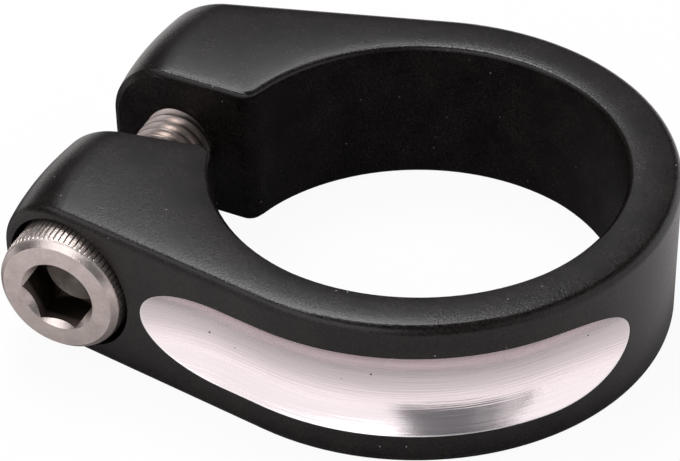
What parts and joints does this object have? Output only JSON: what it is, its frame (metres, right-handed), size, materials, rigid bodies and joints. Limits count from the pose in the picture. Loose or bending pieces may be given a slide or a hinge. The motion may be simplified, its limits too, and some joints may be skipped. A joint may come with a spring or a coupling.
{
  "type": "seatpost clamp",
  "caption": "Split aluminium collar with two ears drawn together by a socket head screw, to clamp a seatpost inside a bicycle seat tube.",
  "frame": {"origin": "centre of the bore at mid height", "axes": "+Z along the bore axis, -X towards the ears, the screw along Y with its head on the -Y side"},
  "size_m": [0.0488, 0.0406, 0.0126],
  "materials": {
    "black_anodised": "satin black anodised, with bare machined metal in the window of the near wall",
    "stainless": "satin stainless, knurled round the head"
  },
  "bodies": {
    "collar": {"clamp_collar": "black_anodised"},
    "screw": {"clamp_bolt": "stainless"}
  },
  "joints": [
    {"name": "screw_turn", "type": "hinge", "parent": "collar", "child": "screw", "pos_m": [-0.02232, 0, 0], "axis": [0, 1, 0], "range_deg": [-750, 390]}
  ]
}
